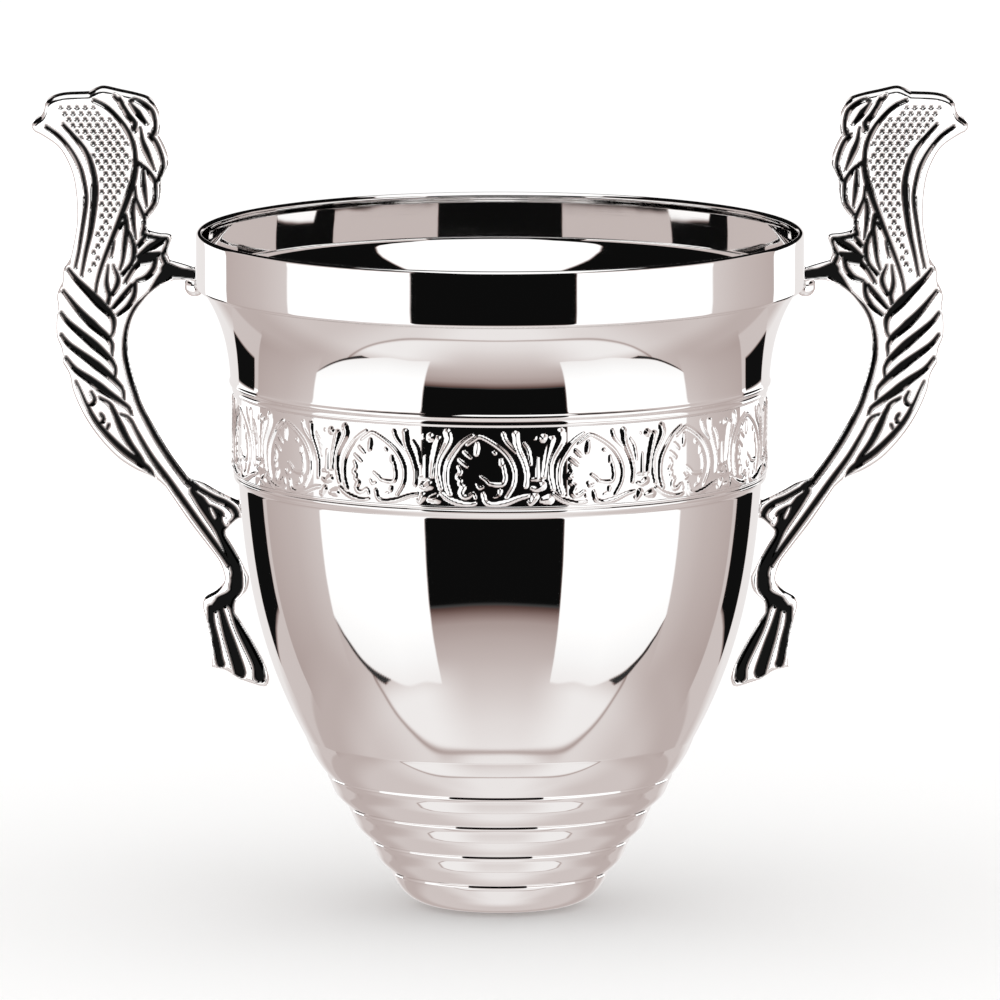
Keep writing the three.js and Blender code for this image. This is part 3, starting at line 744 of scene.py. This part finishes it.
def groove_distance(out, up):
    """Distance from grid points to the nearest groove or dot, negative inside one."""
    groove = np.full(out.shape, FAR)
    for points, widths in GROOVES:
        np.minimum(groove, line_distance(out, up, points, widths), out=groove)
    for points, widths in ISLANDS:
        np.maximum(groove, -line_distance(out, up, points, widths), out=groove)
    return np.minimum(groove, dot_distance(out, up, groove))


def handle_field(out, up, deep, inside, groove):
    """The solid handle as a field, negative inside: a thick outline, its boss, cut off at the bowl."""
    half = HANDLE_THICKNESS / 2
    thick = half - GROOVE_DEPTH * (1 - smoothstep(-0.2, SHOULDER, groove))
    face = np.abs(deep) - thick[..., None] + EDGE_ROUND
    side = -inside[..., None] + EDGE_ROUND
    field = (np.minimum(np.maximum(face, side), 0)
             + np.hypot(np.maximum(face, 0), np.maximum(side, 0)) - EDGE_ROUND)
    ball = np.sqrt((out[..., None] - BALL_CENTRE[0]) ** 2 + (up[..., None] - BALL_CENTRE[1]) ** 2
                   + deep ** 2) - BALL_RADIUS
    field = np.minimum(field, ball)
    from_axis = np.hypot(out[..., None], deep)
    return np.maximum(field, bowl_radius(up)[..., None] + SEAT_GAP - from_axis)


def settled(field, place, cell):
    """Moves the mesh's points the last small way onto the field's zero level."""
    for _ in range(2):
        value = sample(field, place)
        slope = field_slope(field, place, cell)
        size = np.maximum((slope ** 2).sum(1), 0.2)
        place = place - np.clip(value[:, None] * slope / size[:, None], -0.2, 0.2) / cell
    return place


def handle_mesh():
    """The right-hand handle's vertices, faces, normals and how deep in a recess each vertex is."""
    half = HANDLE_THICKNESS / 2
    polygon = handle_polygon()
    low, high = polygon.min(0) - FIELD_MARGIN, polygon.max(0) + FIELD_MARGIN
    out_line = np.arange(low[0], high[0], CELL)
    up_line = np.arange(low[1], high[1], CELL)
    deep_line = np.arange(int(2 * (half + FIELD_MARGIN) / CELL_DEEP) + 2) * CELL_DEEP
    deep_line -= deep_line.mean()
    out, up = np.meshgrid(out_line, up_line, indexing="ij")
    inside = polygon_distance(out, up, polygon)
    groove = groove_distance(out, up)
    field = handle_field(out, up, deep_line[None, None, :], inside, groove)
    cell = np.array([CELL, CELL, CELL_DEEP])
    place, quads = mesh_field(field)
    place = settled(field, place, cell)
    normal = field_slope(field, place, cell)
    normal /= np.linalg.norm(normal, axis=1)[:, None]
    world = (place * cell + [out_line[0], up_line[0], deep_line[0]])[:, [0, 2, 1]]
    flat = place[:, :2]
    recess = 1 - smoothstep(-0.05, 0.32, sample(groove, flat))
    recess *= smoothstep(0.1, 0.5, sample(inside, flat))
    recess *= smoothstep(half - 3.2, half - 2.2, np.abs(world[:, 1]))
    return world, quads[:, ::-1], normal[:, [0, 2, 1]], recess


def make_handles():
    """Both handles by node name. The left one mirrors the right one."""
    vertices, faces, normals, recess = handle_mesh()
    return {name: make_object(name + "_cast", vertices * (side, 1, 1), faces[:, ::side],
                              normals * (side, 1, 1), {"recess": recess})
            for name, side in (("handle_right", 1), ("handle_left", -1))}


# ---- Materials ----

BRIGHT = (0.95, 0.94, 0.935)  # the plating's reflectance
# the near-black base colour that the handles' recesses are given
RECESS_NEAR_BLACK = (0.006, 0.006, 0.006)
STEEL = (0.68, 0.68, 0.69)
CLOUD_SCALE = 38.0
CLOUD_RANGE = (0.35, 0.7)  # the part of the clouds' noise that is spread over the roughness
HAIRLINE_SCALE = (60.0, 60.0, 2600.0)  # long sideways and short upwards
HAIRLINE_RANGE = (0.62, 0.8)  # only the peaks of the noise are marks
HAIRLINE_ROUGH = 0.035
WAVE_SCALE = 60.0
GRAIN_SCALE = 1400.0


def node_material(name):
    """A new material with its nodes, links and shader."""
    material = bpy.data.materials.new(name)
    material.use_nodes = True
    nodes, links = material.node_tree.nodes, material.node_tree.links
    return material, nodes, links, nodes["Principled BSDF"]


def add(nodes, kind, **settings):
    """A new node. Each setting is one of its inputs, or else one of its properties."""
    node = nodes.new(kind)
    for key, value in settings.items():
        if key in node.inputs:
            node.inputs[key].default_value = value
        else:
            setattr(node, key, value)
    return node


def noise(nodes, links, place, **settings):
    node = add(nodes, "ShaderNodeTexNoise", **settings)
    links.new(place, node.inputs["Vector"])
    return node


def spread(nodes, links, source, span, onto):
    """Maps the values of a noise in span onto another range."""
    node = nodes.new("ShaderNodeMapRange")
    for socket, value in zip(("From Min", "From Max", "To Min", "To Max"), (*span, *onto)):
        node.inputs[socket].default_value = value
    links.new(source.outputs["Fac"], node.inputs["Value"])
    return node.outputs["Result"]


def make_chrome(name, color, rough, waviness=0.0, grain=0.0):
    """Polished plating: its gloss clouds a little, it holds hairline polishing marks, and it waves."""
    material, nodes, links, shader = node_material(name)
    shader.inputs["Base Color"].default_value = (*color, 1)
    shader.inputs["Metallic"].default_value = 1
    place = add(nodes, "ShaderNodeTexCoord").outputs["Object"]
    cloud = noise(nodes, links, place, Scale=CLOUD_SCALE, Detail=4.0, Roughness=0.6)
    stretch = add(nodes, "ShaderNodeMapping", Scale=HAIRLINE_SCALE)
    links.new(place, stretch.inputs["Vector"])
    hair = noise(nodes, links, stretch.outputs["Vector"], Scale=1.0, Detail=2.0)
    total = add(nodes, "ShaderNodeMath", operation="ADD")
    links.new(spread(nodes, links, cloud, CLOUD_RANGE, rough), total.inputs[0])
    links.new(spread(nodes, links, hair, HAIRLINE_RANGE, (0.0, HAIRLINE_ROUGH)), total.inputs[1])
    links.new(total.outputs["Value"], shader.inputs["Roughness"])
    normal = None
    for scale, depth in ((WAVE_SCALE, waviness), (GRAIN_SCALE, grain)):
        if not depth:
            continue
        height = noise(nodes, links, place, Scale=scale, Detail=1.0)
        bump = add(nodes, "ShaderNodeBump", Strength=1.0, Distance=depth)
        links.new(height.outputs["Fac"], bump.inputs["Height"])
        if normal:
            links.new(normal, bump.inputs["Normal"])
        normal = bump.outputs["Normal"]
    if normal:
        links.new(normal, shader.inputs["Normal"])
    return material, nodes, links, shader


def make_bowl_material():
    """Spun and polished sheet, whose mirror waves very slightly."""
    return make_chrome("bowl_silver", BRIGHT, (0.015, 0.035), waviness=0.00003)[0]


def make_handle_material():
    """Cast plating whose recesses are coloured near black."""
    material, nodes, links, shader = make_chrome("handle_silver", BRIGHT, (0.05, 0.1), grain=0.000004)
    depth = add(nodes, "ShaderNodeAttribute", attribute_name="recess")
    # the base colour turns near black where the recess attribute is one
    mix = add(nodes, "ShaderNodeMix", data_type="RGBA")
    links.new(depth.outputs["Fac"], mix.inputs[0])
    mix.inputs[6].default_value = (*BRIGHT, 1)
    mix.inputs[7].default_value = (*RECESS_NEAR_BLACK, 1)
    links.new(mix.outputs[2], shader.inputs["Base Color"])
    return material


def make_steel_material():
    """Plain turned steel, duller than the plating."""
    return make_chrome("fastener_steel", STEEL, (0.2, 0.34), grain=0.000006)[0]


# ---- Floor, light and camera ----

FLOOR_COLOR = (0.97, 0.965, 0.96, 1)
FLOOR_RADIUS = 40.0
FLOOR_CORNERS = 96
FLOOR_LEVEL = -0.0004


def make_floor():
    """A plain pale disc. The cup's mirror shows the studio's own table in its place."""
    material, _, _, shader = node_material("floor")
    shader.inputs["Base Color"].default_value = FLOOR_COLOR
    shader.inputs["Roughness"].default_value = 0.7
    shader.inputs["Specular IOR Level"].default_value = 0.0
    turn = [2 * math.pi * i / FLOOR_CORNERS for i in range(FLOOR_CORNERS)]
    mesh = bpy.data.meshes.new("floor")
    mesh.from_pydata([(FLOOR_RADIUS * math.cos(t), FLOOR_RADIUS * math.sin(t), FLOOR_LEVEL) for t in turn],
                     [], [tuple(range(FLOOR_CORNERS))])
    mesh.materials.append(material)
    floor = new_object("floor", mesh)
    floor.visible_glossy = False


# The studio that the cup mirrors. Its directions are degrees: azimuths to the side of the front,
# and elevations. Tones run from black, 0, to white, 1.
EVERYWHERE = 1000
ROOM_TONE = 0.004
SHEET_SIDE = 75  # a white sheet lies on the table and reaches this far to each side
SHEET_FRONT, SHEET_CLIMB = -63, 27  # its near edge in front, and how far that climbs at the sides
SHEET_LINE = 0.45  # how dark the line along that edge is
SHEET_ELEVATIONS = (-63, -54.5, -43, -33.6, -30, -28, -26)
SHEET_TONES = (0.85, 0.785, 0.63, 0.49, 0.4, 0.22, 0.005)  # it darkens towards its far edge
TABLE_END = (-26, -24.5)  # where the table ends and the dark room starts: at the sheet, beside it
SOFTBOX_INNER = (34.0, 29.0)  # where the left and the right softbox start
SOFTBOX_OUTER = 88
SOFTBOX_TOP = 12
GREY_TOP = 30  # a grey wall shows over the softboxes
WALL_END, STRIP_END, BACK_END = 128, 151, 181  # grey walls, white strips, the pale back
CEILING_MIDDLE = 8
CEILING_TONE = 1.1


def band(x, low, high, soft=0.5):
    """One between low and high, with edges softened over soft on both sides."""
    return np.clip((x - low) / soft + 0.5, 0, 1) * np.clip((high - x) / soft + 0.5, 0, 1)


def over(tone, paint, where):
    """The tone with some paint over it."""
    return tone + (paint - tone) * where


def table_tone(side, elevation):
    """The table under and round the cup, with the sheet on it and the line along the sheet's edge."""
    sheet = np.interp(elevation, SHEET_ELEVATIONS, SHEET_TONES)
    sheet = over(sheet, 0.9, smoothstep(14, 50, side) * smoothstep(-36, -46, elevation))
    off_nadir = smoothstep(-88, -62, elevation)
    beside = 0.86 - 0.1 * smoothstep(20, 60, side) * off_nadir - 0.12 * smoothstep(-46, -34, elevation)
    beside -= 0.12 * smoothstep(62, 100, side) * off_nadir
    share = np.minimum(side / SHEET_SIDE, 1)
    edge = SHEET_FRONT + SHEET_CLIMB * (0.28 * share ** 2 + 0.72 * share ** 9)
    on_sheet = band(side, -1, SHEET_SIDE) * band(elevation, edge, EVERYWHERE)
    line = np.exp(-((elevation - edge) / (0.6 + 1.2 * share ** 2)) ** 2) * (side < SHEET_SIDE)
    return over(beside, sheet, on_sheet) * (1 - SHEET_LINE * line)


def with_walls(tone, side, elevation):
    """Adds the grey walls beside the cup, then white strips over dark ones, and the pale back."""
    foot = np.interp(side, (88, 100, 180), (-34, -30, -24.5))
    wall = np.interp(side, (88, 104, 128), (0.68, 0.58, 0.5)) * np.interp(elevation, (-45, -8), (0.74, 1))
    strip = np.where(elevation > -10.5, 1.3, 0.62)
    back = np.interp(elevation, (-22, -16), (0.6, 0.85))
    walls = ((SOFTBOX_OUTER, WALL_END, wall, 24, 6.0), (WALL_END, STRIP_END, strip, 5, 1.0),
             (STRIP_END, BACK_END, back, 5, 1.0))
    for start, end, paint, top, soft in walls:
        tone = over(tone, paint, band(side, start - 0.5, end + 0.5) * band(elevation, foot, top, soft))
    return over(tone, 0.005, band(side, WALL_END + 3, STRIP_END) * band(elevation, -18, -9.5, 0.8))


def with_softboxes(tone, azimuth, elevation):
    """Adds a softbox to each side of the camera, a dark wedge under it and the grey wall over it."""
    side = np.abs(azimuth)
    inner = np.where(azimuth < 0, *SOFTBOX_INNER)
    bottom = -43 + 0.05 * (side - 29) + 15.5 * np.clip((side - 50) / 38, 0, 1) ** 2.2
    bottom += 0.3 * np.sin(side * 0.3 + 1.0)  # its cloth hangs in slight waves
    wedge = np.interp(side, (64, 69, 84, 88), (0, 2.2, 1.2, 0.3))
    tone = over(tone, 0.03, band(side, 64, SOFTBOX_OUTER) * band(elevation, bottom - wedge, bottom, 0.3))
    glow = np.interp(elevation, (-44, -20), (0.9, 1.2)) * np.interp(side, (55, 88), (1, 0.9))
    tone = over(tone, glow, band(side, inner, SOFTBOX_OUTER) * band(elevation, bottom, SOFTBOX_TOP))
    return over(tone, 0.6, band(side, inner, WALL_END) * band(elevation, SOFTBOX_TOP, GREY_TOP))


def studio_tone(azimuth, elevation):
    """How bright the mirrored studio is in a direction."""
    side = np.abs(azimuth)
    table = table_tone(side, elevation)
    table_end = np.where(side < SHEET_SIDE, *TABLE_END)
    tone = over(ROOM_TONE, table, band(elevation, -EVERYWHERE, table_end))
    tone = with_softboxes(with_walls(tone, side, elevation), azimuth, elevation)
    # a white ceiling panel hangs over the cup and comes lower at the front
    ceiling = np.interp(np.abs(azimuth - CEILING_MIDDLE), (20, 32, 55, 75), (28, 40, 50, 62))
    return over(tone, CEILING_TONE, band(elevation, ceiling, EVERYWHERE, 1.0))


STUDIO_RADIUS = 6.0
STUDIO_HEIGHT = 0.1  # of its middle
STUDIO_STEP = 0.4  # degrees
GREY_TINT = (1.24, 1.3)  # the powers that take a little green and blue out of the greys


def make_studio():
    """The dome that the cup mirrors. The camera doesn't see it and it lights nothing else."""
    azimuth = np.arange(-180, 180 + STUDIO_STEP / 2, STUDIO_STEP)
    elevation = np.arange(-90, 90 + STUDIO_STEP / 2, STUDIO_STEP)
    a, e = np.meshgrid(azimuth, elevation)
    tone = np.clip(studio_tone(a, e), 0, None)
    a, e = np.radians(a), np.radians(e)
    place = STUDIO_RADIUS * np.stack([np.cos(e) * np.sin(a), -np.cos(e) * np.cos(a), np.sin(e)], axis=2)
    place += (0, 0, STUDIO_HEIGHT)
    rows, columns = a.shape
    corner = np.arange(rows * columns).reshape(rows, columns)
    faces = np.stack([corner[:-1, :-1], corner[1:, :-1], corner[1:, 1:], corner[:-1, 1:]], axis=2)
    mesh = bpy.data.meshes.new("studio")
    mesh.from_pydata(place.reshape(-1, 3).tolist(), [], faces.reshape(-1, 4).tolist())
    # greys are slightly warm, black and white are neutral
    warm = np.minimum(tone, 1)
    green, blue = (np.where((tone < 1) & (tone > 0.05), warm ** power, tone) for power in GREY_TINT)
    color = np.stack([tone, green, blue, np.ones_like(tone)], axis=2)
    layer = mesh.color_attributes.new("tone", "FLOAT_COLOR", "POINT")
    layer.data.foreach_set("color", color.reshape(-1).astype(np.float32))
    material, nodes, links, _ = node_material("studio")
    nodes.clear()
    painted = add(nodes, "ShaderNodeVertexColor", layer_name="tone")
    glow = nodes.new("ShaderNodeEmission")
    out = nodes.new("ShaderNodeOutputMaterial")
    links.new(painted.outputs["Color"], glow.inputs["Color"])
    links.new(glow.outputs["Emission"], out.inputs["Surface"])
    mesh.materials.append(material)
    studio = new_object("studio", mesh)
    studio.visible_camera = False
    studio.visible_diffuse = False
    studio.visible_shadow = False
    studio.visible_transmission = False


HANDLE_BOX = (0.36, 0.26)  # width and height of a handle's softbox
HANDLE_BOX_AWAY = 0.20  # in front of the cup's middle, and behind it
HANDLE_BOX_INNER = 0.040  # from the middle to its inner edge
HANDLE_BOX_LEVEL = 0.078
HANDLE_BOX_GLOW = 1.35


def make_handle_lights(handles):
    """Softboxes beside the camera, in front and behind, that only the flat handle faces mirror."""
    group = bpy.data.collections.new("handles_lit")
    for handle in handles:
        group.objects.link(handle)
    width, height = HANDLE_BOX
    for side, front in ((-1, -1), (-1, 1), (1, -1), (1, 1)):
        data = bpy.data.lights.new("handle_softbox", "AREA")
        data.shape = "RECTANGLE"
        data.size, data.size_y = width, height
        data.energy = HANDLE_BOX_GLOW * math.pi * width * height
        light = new_object("handle_softbox", data)
        light.location = (side * (HANDLE_BOX_INNER + width / 2), front * HANDLE_BOX_AWAY, HANDLE_BOX_LEVEL)
        light.rotation_euler = (math.radians(90 * -front), 0, 0)
        light.visible_camera = False
        light.visible_diffuse = False
        light.light_linking.receiver_collection = group


WORLD_STRENGTH = 1.08


def make_world():
    """An even white surround, which lights the floor and shows as the white background."""
    world = bpy.data.worlds.new("studio")
    world.use_nodes = True
    background = world.node_tree.nodes["Background"]
    background.inputs["Color"].default_value = (1, 1, 1, 1)
    background.inputs["Strength"].default_value = WORLD_STRENGTH
    bpy.context.scene.world = world
    bpy.context.scene.view_settings.view_transform = "Standard"


CAMERA_DISTANCE = 7.0
CAMERA_ELEVATION = math.radians(8.2)
CAMERA_TARGET = Vector((0.0, 0.0, 0.1075))
FRAME_WIDTH = 0.2636  # metres across the picture at the cup
SENSOR_WIDTH = 36.0


def make_camera():
    data = bpy.data.cameras.new("camera")
    data.sensor_width = SENSOR_WIDTH
    data.lens = SENSOR_WIDTH * CAMERA_DISTANCE / FRAME_WIDTH
    data.clip_end = 100.0
    camera = new_object("camera", data)
    back = Vector((0, -math.cos(CAMERA_ELEVATION), math.sin(CAMERA_ELEVATION)))
    camera.location = CAMERA_TARGET + CAMERA_DISTANCE * back
    camera.rotation_euler = (-back).to_track_quat("-Z", "Y").to_euler()
    bpy.context.scene.camera = camera


# ---- Assembly ----

make_camera()
make_world()
make_studio()
make_floor()

bowl_material = make_bowl_material()
for piece in (make_bowl(), make_frieze()):
    piece.data.materials.append(bowl_material)
    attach(piece, "root")
    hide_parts("bowl")

handle_material = make_handle_material()
handles = make_handles()
make_handle_lights(handles.values())
for node, piece in handles.items():
    piece.data.materials.append(handle_material)
    piece.visible_glossy = False  # the bowl doesn't mirror the handles or the fasteners
    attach(piece, "root")
    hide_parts(node)

steel_material = make_steel_material()
for name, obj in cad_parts.items():
    if "screw" in name or "washer" in name:
        obj.data.materials.clear()
        obj.data.materials.append(steel_material)
        obj.visible_glossy = False
